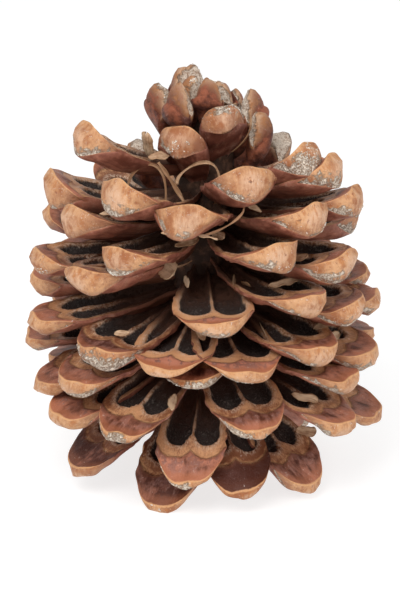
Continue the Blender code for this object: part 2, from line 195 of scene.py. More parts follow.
# Thin edges of torn seed wings, as smooth paths in mm from one scale to the next, with a width in mm.
STRANDS = (
    (((11.6, -34.3, 94.2), (10.2, -36.0, 91.0), (5.0, -37.0, 87.8), (0.0, -36.5, 86.0)), 0.8),
    (((13.5, -12.8, 115.5), (13.4, -12.2, 109.0), (8.6, -8.0, 102.0)), 0.8),
    (((-15.5, -24.0, 74.0), (-9.0, -22.0, 71.2), (-3.0, -17.0, 71.5)), 0.6),
    (((-21.0, -16.0, 92.0), (-19.0, -16.5, 99.0), (-13.0, -17.5, 100.5), (-10.5, -18.5, 89.5)), 1.1),
    (((-7.0, -19.5, 95.5), (-4.0, -19.0, 100.5), (3.0, -18.5, 101.5), (4.0, -18.5, 89.5)), 1.1),
    (((-12.5, -18.0, 102.0), (-9.0, -19.0, 97.0), (-4.5, -20.0, 89.5)), 1.5),
)
# Pale crumbs of dried resin, as (turn, tip height) of a scale, their number, share across and through, reach.
CRUMBS = (
    (50, 105, 90, -0.1, 0.35, 0.55), (20, 114.5, 60, 0.35, 0.45, 0.45), (-22, 109.5, 40, 0.2, -0.3, 0.6),
    (-20, 120.5, 70, 0.0, 0.4, 0.9), (-100, 119.5, 50, 0.0, 0.3, 0.9), (-141, 120.5, 40, -0.3, 0.4, 0.7),
    (94, 115.5, 45, 0.2, 0.5, 0.7), (150, 117.5, 40, 0.0, 0.2, 0.9), (-97, 117.5, 25, 0.0, 0.5, 0.7),
    (-7, 11, 60, -0.6, -0.5, 0.35), (17, 29, 55, -0.55, -0.6, 0.35), (-30, 26, 55, -0.5, -0.4, 0.4),
    (-38, 49, 60, -0.6, -0.3, 0.4), (-6, 43, 70, -0.4, -0.6, 0.45), (-48, 37, 30, -0.6, -0.2, 0.4),
    (13, 46.5, 25, -0.1, -0.8, 0.25), (24, 81, 15, 0.1, -0.7, 0.3), (-45, 71.5, 25, -0.7, -0.4, 0.3),
    (-71, 70, 25, 0.3, -0.7, 0.4), (-29, 79.5, 30, -0.3, -0.9, 0.4), (41, 90, 20, 0.2, -0.7, 0.4),
    (-19, 0.2, 10, -0.2, 0.9, 0.3), (66, 90, 15, 0.3, -0.5, 0.3), (52, 37, 15, 0.5, -0.3, 0.3),
)
CRUMB_RADIUS, CRUMBS_TOGETHER, CLUSTER_SPREAD = (0.09, 0.26), 6, 0.05

# Steps of the fine grid along, across and through one scale, flake or strand.
FULL_STEPS, KNOT_STEPS, BARREN_STEPS = (40, 30, 7), (26, 20, 8), (14, 10, 4)
FLAKE_STEPS, STRAND_STEPS = (14, 6, 1), (28, 4, 2)

# The stage: a pale floor, two softboxes as (name, place, size, power) and the camera. Places, sizes and the
# distance are in metres, the elevation in degrees, the lens and the sensor in mm.
FLOOR_HALF_SIZE, PAPER_GREY, PAPER_GLOW, SURROUND_STRENGTH = 8.0, 0.35, 0.74, 0.56
SOFTBOXES = (
    ("front softbox", (-0.25, -0.60, 0.75), 0.5, 5.7),
    ("side softbox", (0.60, -0.45, 0.40), 0.5, 1.4),
)
SOFTBOX_TARGET = (0.0, 0.0, 0.06)
CAMERA_TARGET, CAMERA_DISTANCE, CAMERA_ELEVATION = (-0.0006, 0.0, 0.053), 0.9, 20.0
LENS, SENSOR_WIDTH = 180.0, 36.0


def profile(pairs, at):
    """Value at one point of a list of (position, value) pairs, straight between them."""
    places, values = zip(*pairs)
    return float(np.interp(at, places, values))


def wrapped(turn):
    """The same turn between -180 and 180."""
    return (turn + 180.0) % 360.0 - 180.0


def smooth(low, high, values):
    """0 up to low, 1 from high on, and a smooth step between."""
    share = np.clip((values - low) / (high - low), 0.0, 1.0)
    return share * share * (3.0 - 2.0 * share)


def lean_at(height):
    """How far in mm the axis leans to the right at a height."""
    return LEAN * smooth(LEAN_FROM, LEAN_TO, np.asarray(height, dtype=float))


def apart(first, second):
    """Step from one (turn, tip height) to another in mm over the cone's outside."""
    radius = profile(TIP_RADIUS, 0.5 * (first[1] + second[1]))
    along = math.radians(wrapped(second[0] - first[0])) * radius
    return Vector((along, HEIGHT_WEIGHT * (second[1] - first[1])))


def back_scales(fixed):
    """Spiral scales of the unseen half, eased off each other and off the fixed ones."""
    tip_of_root = tuple((root, tip) for tip, root in ROOT_HEIGHT)
    free = []
    for index in range(SPIRAL_COUNT):
        turn = wrapped(SPIRAL_START_TURN - GOLDEN_ANGLE * index)
        tip = profile(tip_of_root, SPIRAL_FIRST_ROOT + SPIRAL_RISE * index)
        near = min(apart((turn, tip), other).length for other in fixed)
        if abs(turn) > BACK_EDGE_TURN and tip < BACK_HIGHEST and near > CLOSEST_START * NEIGHBOUR_SPACING:
            free.append([turn, tip])
    for _ in range(SETTLE_ROUNDS):
        for scale in free:
            push = Vector((0.0, 0.0))
            for other in list(fixed) + [each for each in free if each is not scale]:
                step = apart(other, scale)
                if 0.0 < step.length < NEIGHBOUR_SPACING:
                    push += step.normalized() * (NEIGHBOUR_SPACING - step.length)
            radius = profile(TIP_RADIUS, scale[1])
            scale[0] = wrapped(scale[0] + math.degrees(SETTLE_SHARE * push.x / radius))
            scale[1] = min(BACK_HIGHEST, max(BACK_LOWEST, scale[1] + SETTLE_SHARE * push.y / HEIGHT_WEIGHT))
    return free


def through_stations(shares):
    """The smooth curve through one share at each station."""
    return np.polynomial.Polynomial.fit(STATIONS, shares, len(STATIONS) - 1)


WIDTH_CURVE = through_stations(WIDTH_SHARE)
TOP_CURVE = through_stations(TOP_SHARE)
UNDER_CURVE = through_stations(UNDER_SHARE)


class Scale:
    """Where one scale runs and how big it is; surface() gives the places of its fine grid.

    Openness is 1 for an open scale, flat on top with its two hollows, and 0 for a closed, rounded one.
    """

    def __init__(self, turn, tip_height, tip_radius, root_height, bow, half_width, thickness,
                 openness, roll=0.0):
        angle = math.radians(turn)
        self.turn, self.tip_height = turn, tip_height
        self.out = np.array((math.sin(angle), -math.cos(angle), 0.0))
        self.across = np.array((math.cos(angle), math.sin(angle), 0.0))
        self.start = np.array((profile(AXIS_PROFILE, root_height) - ROOT_SINK, root_height))
        self.end = np.array((tip_radius, tip_height))
        chord = self.end - self.start
        self.length = float(np.hypot(*chord))
        upward = np.array((-chord[1], chord[0])) / self.length
        self.bend = 0.5 * (self.start + self.end) + bow * upward
        self.half_width, self.thickness = half_width, thickness
        self.openness, self.closed = openness, 1.0 - openness
        self.lump_height = LUMP_HEIGHT * self.openness + KNOT_LUMP_HEIGHT * self.closed
        self.knob = float(openness < 0.5 and half_width < KNOB_WIDEST and root_height > KNOB_LOWEST_ROOT)
        self.roll = math.radians(roll)
        self.centre = np.array((float(lean_at(root_height)) + CENTRE_SHIFT[0], CENTRE_SHIFT[1], 0.0))
        self.seed = round(1000 * (turn + 200) + tip_height)
        self.luck = np.random.default_rng(self.seed)
        self.belly_lean = self.luck.uniform(-BELLY_LEAN, BELLY_LEAN)
        self.crest_slant = self.luck.uniform(-CREST_SLANT, CREST_SLANT)
        named = (turn, tip_height)
        tone = self.luck.uniform(*OTHER_TONES) if openness > 0.5 else KNOT_TONE
        self.tone = TOP_TONES.get(named, tone)
        self.crust = CRUSTS.get(named, self.luck.uniform(*OTHER_CRUSTS))
        self.face_share = THIN_FACES.get(named, 1.0)

    def spine(self, along):
        """Points and upward normals of the middle line, both as (radius, height)."""
        along = along[:, None]
        at = (1 - along) ** 2 * self.start + 2 * along * (1 - along) * self.bend + along ** 2 * self.end
        run = (1 - along) * (self.bend - self.start) + along * (self.end - self.bend)
        run /= np.linalg.norm(run, axis=1, keepdims=True)
        return at, np.stack((-run[:, 1], run[:, 0]), axis=1)

    def place(self, along, sideways, lift):
        """World places in mm of points given by share of length, mm across and mm above the middle line."""
        at, normal = self.spine(along)
        turn = self.roll * along
        side = sideways * np.cos(turn) - lift * np.sin(turn)
        rise = sideways * np.sin(turn) + lift * np.cos(turn)
        radial = at + rise[:, None] * normal
        places = self.centre + np.outer(radial[:, 0], self.out) + np.outer(side, self.across)
        places[:, 2] += radial[:, 1]
        return places

    def waves(self, first, second, length, count=4):
        """Soft lumps from -1 to 1 over two coordinates in mm, about one wave in each length."""
        total = np.zeros_like(first)
        for _ in range(count):
            angle, phase = self.luck.uniform(0.0, math.tau, 2)
            pitch = math.tau / (length * self.luck.uniform(0.7, 1.5))
            total += np.sin(pitch * (first * math.cos(angle) + second * math.sin(angle)) + phase)
        return total / count

    def hollow_distance(self, across, back, half_width):
        """Distance in mm from the rim of the nearer hollow, below 0 inside it."""
        reach = profile(HOLLOW_FROM_CREST, self.tip_height) + HOLLOW_END_LENGTH
        wide = HOLLOW_HALF_WIDTH * half_width
        sideways = (np.abs(across) - HOLLOW_ACROSS) * half_width / wide
        lengthways = np.maximum(0.0, reach - back) / HOLLOW_END_LENGTH
        return (np.hypot(sideways, lengthways) - 1.0) * wide

    def body(self, u, v, thickness):
        """Heights in mm over the middle line of the plain top and of the domed underside."""
        middle = thickness * TOP_CURVE(u)
        leaned = np.clip(np.abs(v + self.belly_lean * (1.0 - v ** 2)), 0.0, 1.0)
        dome = (1.0 - leaned ** BELLY_POWER) ** (0.72 + 0.16 * self.openness)
        drop = CLOSED_EDGE_DROP * self.closed * thickness
        belly = thickness * (TOP_CURVE(u) + UNDER_CURVE(u)) - drop - RIM_THICKNESS
        belly *= 1.0 - (1.0 - self.face_share) * smooth(0.55, 0.95, u)
        plain_top = middle - drop * (1.0 - np.sqrt(1.0 - np.abs(v) ** 2.5))
        return plain_top, middle - drop - RIM_THICKNESS - belly * dome

    def worked_top(self, u, v, sideways, hollow, plain_top):
        """The plain top with its rim, seed imprint, hollows and crest."""
        edge = np.abs(v)
        relief = RIM_LIFT * smooth(0.72, 0.97, edge) * (1.0 - u ** 6)
        relief -= IMPRINT_DEPTH * smooth(IMPRINT_REACH + 0.5, IMPRINT_REACH - 0.5, hollow)
        relief += 0.3 * np.exp(-((hollow - 0.7) / 0.5) ** 2)
        relief -= HOLLOW_DEPTH * smooth(0.15, -0.7, hollow)
        wave = self.waves(sideways, 0.0 * sideways, 9.0)
        crest = u ** 12 * (CREST_LIFT * wave + self.crest_slant * v)
        top = plain_top + self.openness * (relief + crest)
        peak = profile(CREST_PEAK, self.tip_height) * self.openness * (self.face_share == 1.0)
        top += peak * u ** 8 * (0.5 - 1.3 * edge ** 1.5)
        return top - THIN_CREST_DROP * (self.face_share < 1.0) * smooth(0.6, 1.0, u)

    def outer_face(self, v, w, sideways, lift):
        """How far in mm the outer face stands out: its bulge, keel, umbo and lumps."""
        edge = np.abs(v)
        keel = 1.0 - smooth(0.0, 0.55, np.abs(w - 0.1))
        umbo = np.exp(-(np.hypot(sideways / 1.4, 0.5 * (w + 0.05) * self.thickness) / UMBO_RADIUS) ** 2)
        face = FACE_BULGE * (1.0 - edge ** 2.4) * np.clip(1.0 - np.abs(w) ** 2.2, 0.0, 1.0) ** 0.8
        face += self.openness * KEEL_HEIGHT * keel * (1.0 - edge) + UMBO_HEIGHT * umbo
        face *= 1.0 - 0.6 * self.knob
        face += self.knob * KNOB_BULGE * np.sqrt(np.clip(1.0 - edge ** 2 - w ** 2, 0.0, 1.0))
        inner = 1.0 - np.abs(w) ** 4
        face += self.lump_height * 1.3 * self.waves(sideways, lift, 6.0) * inner
        return face + 0.5 * self.lump_height * self.waves(sideways, lift, 2.6) * inner

    def surface(self, grid):
        """Places in mm of the grid's points, with (hollow distance, mm from crest, across) at each.

        The waves start from the scale's own seed each time, so a point has one place however
        often it is asked.
        """
        self.luck = np.random.default_rng(self.seed + 1)
        u, v, w = grid
        edge = np.abs(v)
        near_tip = u ** 12
        slender = 1.0 + self.knob * KNOB_SWELL * smooth(0.45, 0.7, u)
        slender -= self.knob * KNOB_TAPER * np.clip((u - 0.7) / 0.3, 0.0, 1.0) ** 2
        half_width = self.half_width * WIDTH_CURVE(u) * slender
        along = u * (1.0 - TIP_ROUNDING * (edge * u) ** 3)
        back = (1.0 - along) * self.length
        frayed = EDGE_WAVE * self.openness * smooth(0.8, 1.0, edge) * (1.0 - near_tip)
        sideways = v * half_width + frayed * self.waves(back, 40.0 * v, 4.0)

        hollow = self.hollow_distance(v, back, half_width) + 0.3 * self.waves(sideways, back, 5.5)
        thickness = self.thickness * slender
        plain_top, bottom = self.body(u, v, thickness)
        top = self.worked_top(u, v, sideways, hollow, plain_top)
        top += self.lump_height * self.waves(sideways, back, 8.0)
        bottom += 1.5 * self.lump_height * self.waves(sideways, back, 10.0)
        bottom = np.minimum(bottom, top - THINNEST)
        rise = 0.5 * (w + 1.0)
        lift = bottom + (top - bottom) * rise

        slant = 0.5 * FACE_SLANT * (1.0 - 0.8 * self.knob)
        shift = self.outer_face(v, w, sideways, lift) * (u > 0.999)
        shift -= slant * thickness * (1.0 - rise) * near_tip
        shift -= self.knob * (KNOB_SHORTER + 1.6 * w ** 2 + 1.2 * edge ** 2.5) * u ** 6
        shift += CREST_WAVE * self.openness * near_tip * rise * self.waves(sideways, 0.0 * sideways, 7.0)
        places = self.place(along + shift / self.length, sideways, lift)
        places[:, 2] = np.maximum(places[:, 2], 0.0)
        hollow = np.where(self.openness > 0.5, hollow, 20.0)
        marks = np.stack((hollow, (1.0 - u) * self.length, v), axis=1)
        run = np.stack((sideways, back, w), axis=1)
        return places, marks, run


class Flake:
    """A papery flake of seed wing that lies on a scale or stands up from it."""

    def __init__(self, scale, back, side, length, width, heading, rise, tilt, bend, lift):
        self.scale, self.back, self.side, self.lift = scale, back, side, lift
        self.length, self.width = length, width
        self.heading, self.rise, self.tilt = (math.radians(angle) for angle in (heading, rise, tilt))
        self.bend = math.radians(bend) + 0.001
        seed = round(100 * (back + length + heading + 200)) + round(10 * scale.turn + 2000)
        self.luck = np.random.default_rng(seed)
        self.tone, self.crust = self.luck.uniform(0.0, 1.0, 2)

    def surface(self, grid):
        """Places in mm of the grid's points, with their shares and run."""
        u, v, w = grid
        scale = self.scale
        turn = self.heading + self.bend * u
        width = self.width * (0.65 + 0.35 * u) * (1.0 - (2.0 * u - 1.0) ** 4) ** 0.6 + 0.15
        width *= 1.0 + 0.07 * np.sin(23.0 * u + 6.0 * self.tone) * v
        half = 0.5 * v * width
        ahead = self.length / self.bend * (np.sin(turn) - math.sin(self.heading)) - half * np.sin(turn)
        aside = self.length / self.bend * (math.cos(self.heading) - np.cos(turn))
        aside += half * np.cos(turn) * math.cos(self.tilt)
        along = 1.0 - (self.back - ahead) / scale.length
        base = 1.0 - self.back / scale.length
        sideways = self.side * scale.half_width * WIDTH_CURVE(base) + aside
        lift = scale.thickness * TOP_CURVE(base) + self.lift + self.length * u * math.sin(self.rise)
        lift += half * math.sin(self.tilt) + 0.5 * np.abs(self.width * math.sin(self.tilt))
        lift += 0.16 * self.width * v ** 2 * (0.3 + u) + 0.3 * scale.waves(ahead, aside, 4.0, 2)
        places = scale.place(along, sideways, lift + 0.5 * FLAKE_THICKNESS * w)
        places[:, 2] = np.maximum(places[:, 2], 0.0)
        return places, np.stack((u, v, w), axis=1), np.stack((half, self.length * u, w), axis=1)


class Strand:
    """A thin curled strip that runs along a smooth path."""

    def __init__(self, points, width):
        shares = np.linspace(0.0, 1.0, len(points))
        self.path = [np.polynomial.Polynomial.fit(shares, values, len(points) - 1) for values in zip(*points)]
        self.width = width
        self.luck = np.random.default_rng(round(100 * width + 10 * points[0][2]))
        self.tone, self.crust = self.luck.uniform(-0.6, 0.1, 2)

    def surface(self, grid):
        """Places in mm of the grid's points, with their shares and run."""
        u, v, w = grid
        middle = np.stack([line(u) for line in self.path], axis=1)
        run = np.stack([line.deriv()(u) for line in self.path], axis=1)
        run /= np.linalg.norm(run, axis=1, keepdims=True)
        outward = np.stack((middle[:, 0], middle[:, 1], 0.0 * u), axis=1)
        side = np.cross(run, outward)
        side /= np.linalg.norm(side, axis=1, keepdims=True)
        flat = np.cross(side, run)
        width = self.width * (0.75 + 0.25 * np.sin(14.0 * u + 5.0 * self.tone))
        places = middle + side * (0.5 * v * width)[:, None]
        depth = 0.3 * FLAKE_THICKNESS * w * (1.0 + self.width) + 0.25 * self.width * v ** 2
        places += flat * depth[:, None]
        return places, np.stack((u, v, w), axis=1), np.stack((v * self.width, 20.0 * u, w), axis=1)


def by_place(scales):
    """The scales by their turn and tip height."""
    return {(scale.turn, scale.tip_height): scale for scale in scales}


def flakes(scales):
    """The flakes seen in the photograph on their own scales, and by chance one on others."""
    placed = by_place(scales)
    made = [Flake(placed[row[:2]], *row[2:]) for row in FLAKES]
    taken = {row[:2] for row in FLAKES}
    for place, scale in placed.items():
        if abs(place[0]) > BACK_EDGE_TURN and place not in taken and scale.luck.uniform() < FLAKE_SHARE:
            side = scale.luck.choice(CHANCE_SIDES)
            back = profile(HOLLOW_FROM_CREST, scale.tip_height) + scale.luck.uniform(*CHANCE_BACK)
            length, width = scale.luck.uniform(*CHANCE_LENGTH), scale.luck.uniform(*CHANCE_WIDTH)
            angles = [scale.luck.uniform(*limits) for limits in CHANCE_ANGLES]
            made.append(Flake(scale, back, side, length, width, *angles, CHANCE_LIFT))
    return made


def resin_crumbs(scales, material):
    """Small pale crumbs of dried resin, stuck on the outer faces of some scales."""
    placed = by_place(scales)
    shape = bmesh.new()
    for turn, tip_height, count, across, through, reach in CRUMBS:
        scale = placed[(turn, tip_height)]
        luck = np.random.default_rng(round(10 * (turn + 200) + tip_height))
        middles = luck.normal((across, through), 0.5 * reach, (count // CRUMBS_TOGETHER + 1, 2))
        spots = np.repeat(middles, CRUMBS_TOGETHER, axis=0)
        spots = np.clip(spots + luck.normal(0.0, CLUSTER_SPREAD, spots.shape), -0.97, 0.97)
        places, _, _ = scale.surface((np.ones(len(spots)), *spots.T))
        for place in places:
            radius = luck.uniform(*CRUMB_RADIUS)
            crumb = bmesh.ops.create_icosphere(shape, subdivisions=1, radius=radius)["verts"]
            for vert in crumb:
                vert.co *= luck.uniform(0.6, 1.25)
            bmesh.ops.translate(shape, vec=Vector(place), verts=crumb)
    return finished(shape, "resin_crumbs", [material])


def full_scales(draw):
    """The open, seed-bearing scales: the front ones as listed, the back ones by the spiral."""
    fixed = FRONT_SCALES + SIDE_SCALES
    listed = list(fixed) + [(turn, tip, BACK_REACH) for turn, tip in back_scales(fixed)]
    scales = []
    for turn, tip, reach in listed:
        size = 1.0 + draw.uniform(-SIZE_SPREAD, SIZE_SPREAD)
        scales.append(Scale(
            turn, tip, profile(TIP_RADIUS, tip) * reach, profile(ROOT_HEIGHT, tip),
            profile(BOW, tip) + draw.uniform(-BOW_SPREAD, BOW_SPREAD),
            profile(HALF_WIDTH, tip) * size, profile(TIP_THICKNESS, tip) * size,
            1.0, draw.uniform(-ROLL, ROLL)))
    return scales


def knot_scales(draw):
    """The closed finger-like scales of the top, which stand almost upright."""
    return [Scale(turn, tip, radius, root, bow, half_width, thickness, 0.0, draw.uniform(-ROLL, ROLL))
            for turn, tip, radius, half_width, thickness, root, bow in KNOT_SCALES]


def barren_scales(draw):
    """The small scales round the stalk, which carried no seeds."""
    scales = []
    for index in range(BARREN_COUNT):
        turn = wrapped(SPIRAL_START_TURN + GOLDEN_ANGLE * (index + 1))
        scales.append(Scale(turn, BARREN_TIP_HEIGHT + draw.uniform(-BARREN_SPREAD, BARREN_SPREAD),
                            BARREN_RADIUS + draw.uniform(-BARREN_SPREAD, BARREN_SPREAD), BARREN_ROOT_HEIGHT,
                            BARREN_BOW, BARREN_HALF_WIDTH, BARREN_THICKNESS, 0.0))
    return scales


def mesh_of(shape, name, materials=()):
    """The shape as a smooth mesh that carries the materials."""
    for face in shape.faces:
        face.smooth = True
    mesh = bpy.data.meshes.new(name)
    shape.to_mesh(mesh)
    shape.free()
    for material in materials:
        mesh.materials.append(material)
    return mesh


def linked(name, data):
    """A new object in the scene that holds the data."""
    item = bpy.data.objects.new(name, data)
    bpy.context.scene.collection.objects.link(item)
    return item


def blank_scale(steps):
    """A block cut into a fine grid: x runs along a scale, y across it and z through it."""
    shape = bmesh.new()
    bmesh.ops.create_cube(shape, size=2.0)
    for axis, count in enumerate(steps):
        edges = [edge for edge in shape.edges
                 if abs(edge.verts[0].co[axis] - edge.verts[1].co[axis]) > 1.0]
        bmesh.ops.subdivide_edges(shape, edges=edges, cuts=count - 1, use_grid_fill=True)
    shape.normal_update()
    for face in shape.faces:
        face.material_index = 0 if face.normal.z > 0.9 else 1 if face.normal.x > 0.9 else 2
    return mesh_of(shape, "blank scale")


def grid_of(blank):
    """Shares along (0 to 1), across and through (-1 to 1) of the blank's points, finer near its edges."""
    points = np.empty(3 * len(blank.vertices))
    blank.vertices.foreach_get("co", points)
    x, y, z = points.reshape(-1, 3).T
    u = 1.0 - (0.5 - 0.5 * x) ** 1.35
    v = 0.5 * y + 0.5 * np.sin(0.5 * math.pi * y)
    w = np.sin(0.5 * math.pi * z)
    return u, v, w


def axis_piece(material):
    """The woody axis: a turned profile that leans at its top, knobbly between the scales."""
    shape = bmesh.new()
    heights = np.linspace(AXIS_PROFILE[0][0], AXIS_PROFILE[-1][0], AXIS_STEPS)
    outline = [(0.0, heights[0])] + [(profile(AXIS_PROFILE, height), height) for height in heights]
    verts = [shape.verts.new((radius, 0.0, height)) for radius, height in outline + [(0.0, heights[-1])]]
    edges = [shape.edges.new(pair) for pair in zip(verts, verts[1:])]
    bmesh.ops.spin(shape, geom=verts + edges, cent=(0, 0, 0), axis=(0, 0, 1), angle=math.tau,
                   steps=AXIS_SIDES, use_merge=True)
    bmesh.ops.remove_doubles(shape, verts=shape.verts, dist=0.001)
    for vert in shape.verts:
        turn, height = math.atan2(vert.co.y, vert.co.x), vert.co.z
        swell = 1.0 + AXIS_KNOBS * math.sin(5.0 * turn + 0.9 * height) * math.sin(3.0 * turn - 0.7 * height)
        vert.co.x, vert.co.y = vert.co.x * swell, vert.co.y * swell
        vert.co.x += float(lean_at(height)) + CENTRE_SHIFT[0]
        vert.co.y += CENTRE_SHIFT[1]
    bmesh.ops.recalc_face_normals(shape, faces=shape.faces)
    return finished(shape, "woody_axis", [material])


def finished(shape, name, materials):
    """Scales a millimetre mesh to metres and puts it in an object of its own."""
    bmesh.ops.scale(shape, vec=(MM, MM, MM), verts=shape.verts)
    return linked(name, mesh_of(shape, name, materials))


def add_marks(mesh, name, values):
    """A vector attribute on the points, which a material reads by name."""
    layer = mesh.attributes.new(name, "FLOAT_VECTOR", "POINT")
    layer.data.foreach_set("vector", np.ascontiguousarray(values, dtype=np.float32).ravel())


def scale_piece(name, scales, steps, materials):
    """One piece holding several scales, each the same blank placed by its own surface."""
    blank = blank_scale(steps)
    grid = grid_of(blank)
    shape = bmesh.new()
    for _ in scales:
        shape.from_mesh(blank)
    mesh = mesh_of(shape, name, materials)
    bpy.data.meshes.remove(blank)
    rows = []
    for scale in scales:
        places, marks, run = scale.surface(grid)
        luck = np.tile((scale.luck.uniform(0.0, 1.0), scale.tone, scale.crust), (len(places), 1))
        rows.append((places, marks, run, luck))
    places, *noted = (np.concatenate(each) for each in zip(*rows))
    mesh.vertices.foreach_set("co", (MM * places).astype(np.float32).ravel())
    for label, values in zip(("marks", "run", "luck"), noted):
        add_marks(mesh, label, values)
    mesh.update()
    return linked(name, mesh)


class Socket:
    """A shader value; maths on it adds Math nodes."""

    def __init__(self, finish, output):
        self.finish, self.output = finish, output

    def maths(self, operation, *values):
        return self.finish.node("ShaderNodeMath", {"operation": operation}, dict(enumerate(values)))

    def __add__(self, other):
        return self.maths("ADD", self, other)

    def __sub__(self, other):
        return self.maths("SUBTRACT", self, other)

    def __rsub__(self, other):
        return self.maths("SUBTRACT", other, self)

    def __mul__(self, other):
        return self.maths("MULTIPLY", self, other)

    def __abs__(self):
        return self.maths("ABSOLUTE", self)

    __radd__ = __add__

    def step(self, low, high):
        """0 below low, 1 above high and smooth between; with low over high it falls instead."""
        return self.finish.node("ShaderNodeMapRange", {"interpolation_type": "SMOOTHSTEP"},
                                {"Value": self, "From Min": low, "From Max": high})


class Finish:
    """One material under construction, with its Principled surface."""

    def __init__(self, name, **constants):
        self.material = bpy.data.materials.new(name)
        self.material.use_nodes = True
        self.tree = self.material.node_tree
        self.surface = self.tree.nodes["Principled BSDF"]
        for socket, value in constants.items():
            self.surface.inputs[socket.replace("_", " ")].default_value = value

    def node(self, kind, settings, sockets, output=0):
        node = self.tree.nodes.new(kind)
        for name, value in settings.items():
            setattr(node, name, value)
        self.join(node, sockets)
        return Socket(self, node.outputs[output])

    def join(self, node, sockets):
        for name, value in sockets.items():
            if isinstance(value, Socket):
                self.tree.links.new(value.output, node.inputs[name])
            else:
                node.inputs[name].default_value = value

    def mix(self, first, second, share):
        """From the first colour to the second as share goes from 0 to 1."""
        first, second = (value if isinstance(value, Socket) else (*value, 1.0) for value in (first, second))
        return self.node("ShaderNodeMix", {"data_type": "RGBA"}, {0: share, 6: first, 7: second}, output=2)

    def attribute(self, name):
        """The three values of a point attribute."""
        vector = self.node("ShaderNodeAttribute", {"attribute_name": name}, {}, output=1)
        split = self.node("ShaderNodeSeparateXYZ", {}, {0: vector}).output.node
        return [Socket(self, output) for output in split.outputs]

    def vector(self, x, y, z):
        return self.node("ShaderNodeCombineXYZ", {}, {0: x, 1: y, 2: z})

    def noise(self, where, scale, detail=3.0, roughness=0.55):
        return self.node("ShaderNodeTexNoise", {}, {"Vector": where, "Scale": scale, "Detail": detail,
                                                    "Roughness": roughness})

    def object_place(self):
        return self.node("ShaderNodeTexCoord", {}, {}, output=3)

    def bump(self, height, distance):
        return self.node("ShaderNodeBump", {}, {"Height": height, "Distance": distance})

    def done(self, colour, roughness, normal):
        self.join(self.surface, {"Base Color": colour, "Roughness": roughness, "Normal": normal})
        return self.material

    def depth_shade(self, start, end):
        """1 near the tip and 0 deep among the scales, where shade is painted into the wood."""
        _, tip_distance, _ = self.attribute("marks")
        return tip_distance.step(end, start)


def upper_side():
    """Top of a scale: mauve-brown wood, tan seed imprint and two near-black hollows."""
    finish = Finish("upper side of a scale", Specular_IOR_Level=0.3)
    hollow, crest, _ = finish.attribute("marks")
    sideways, back, _ = finish.attribute("run")
    luck, tone, _ = finish.attribute("luck")
    where = finish.object_place()
    streak_place = finish.vector(sideways, back * 0.3, luck * 40.0)
    streaks = finish.noise(streak_place, 0.7, 4.0, 0.6)
    threads = finish.noise(streak_place, 3.2, 3.0, 0.7)
    patches = finish.noise(where, 130.0, 3.0, 0.55)
    spots = finish.noise(where, 430.0, 4.0, 0.65)
    grain = finish.noise(where, 1500.0, 4.0, 0.75)
    ragged = hollow + (spots - 0.5) * 1.2 + (grain - 0.5) * 0.8

    light = (patches - 0.5) * 1.9 + (streaks - 0.5) * 1.5 + (spots - 0.5) * 1.2 + tone
    wood = finish.mix((0.075, 0.020, 0.011), (0.54, 0.215, 0.135), light.step(-0.05, 1.05))
    mauve = ((streaks - 0.5) * 1.8 + (spots - 0.5) * 1.8 + luck * 0.3).step(0.12, 0.42)
    mauve *= hollow.step(9.5, 4.5)
    wood = finish.mix(wood, (0.15, 0.075, 0.068), mauve * (tone * 0.3 + 0.35))
    # Painted highlight: whitish streaky sheen in the wood colour, stronger on brighter tops.
    painted_sheen = ((streaks - 0.5) * 1.6 + (grain - 0.5) * 1.7 + (threads - 0.5) * 1.1).step(0.22, 0.52)
    wood = finish.mix(wood, (0.55, 0.39, 0.33), painted_sheen * (tone * 0.45 + 0.1))
    border = (crest + (spots - 0.5) * 3.0).step(4.2, 1.6)
    wood = finish.mix(wood, (0.45, 0.155, 0.075), border * (0.3 + tone * 0.5))

    # The imprint band follows the tone: partly its own colour, partly painted shade on tucked-in scales.
    pale_thread = (threads - 0.5) * 1.3 + (patches - 0.5) * 1.6 + (spots - 0.5) * 1.0 + tone * 0.6
    tan = finish.mix((0.22, 0.078, 0.033), (0.66, 0.34, 0.165), pale_thread.step(-0.1, 0.72))
    outline = ragged.step(IMPRINT_REACH + 1.1, IMPRINT_REACH + 0.3)
    wood = finish.mix(wood, (0.19, 0.066, 0.036), outline * 0.5)
    imprint = ragged.step(IMPRINT_REACH + 0.25, IMPRINT_REACH - 0.25)
    colour = finish.mix(wood, tan, imprint * 0.85)
    ridge = ragged.step(IMPRINT_REACH - 0.9, IMPRINT_REACH - 0.3)
    ridge *= ragged.step(IMPRINT_REACH + 0.4, IMPRINT_REACH)
    colour = finish.mix(colour, (0.62, 0.33, 0.16), ridge * spots.step(0.35, 0.6) * 0.6)
    rim = ragged.step(1.7, 0.3) * ((grain - 0.5) + (threads - 0.5) * 1.2).step(-0.12, 0.15)
    colour = finish.mix(colour, (0.70, 0.53, 0.40), rim * 0.75)
    powder = ((grain - 0.5) * 1.5 + (spots - 0.5) * 1.0 + (threads - 0.5) * 1.2).step(0.0, 0.42)
    black = finish.mix((0.045, 0.033, 0.029), (0.32, 0.27, 0.24), powder * 0.8)
    inside = (hollow + (grain - 0.5) * 0.5).step(0.15, -0.2)
    colour = finish.mix(colour, black, inside)
    crest_line = (crest + (spots - 0.5) * 1.0).step(0.5, 0.15)
    colour = finish.mix(colour, (0.70, 0.36, 0.17), crest_line * 0.8)
    specks = finish.noise(where, 1100.0, 3.0, 0.6).step(0.65, 0.72) * (patches + streaks).step(0.96, 1.14)
    colour = finish.mix(colour, (0.80, 0.68, 0.60), specks * (1.0 - inside) * 0.8)
    # Painted shade: deep among the scales the top turns dark brown.
    colour = finish.mix((0.13, 0.062, 0.040), colour, finish.depth_shade(17.0, 32.0))

    height = streaks * 0.5 + grain * 0.5 + spots * 0.5 - imprint * 0.7 - inside * 0.5 + powder * inside * 0.9
    roughness = 0.30 + grain * 0.25 - inside * 0.05
    return finish.done(colour, roughness, finish.bump(height, 0.0005))


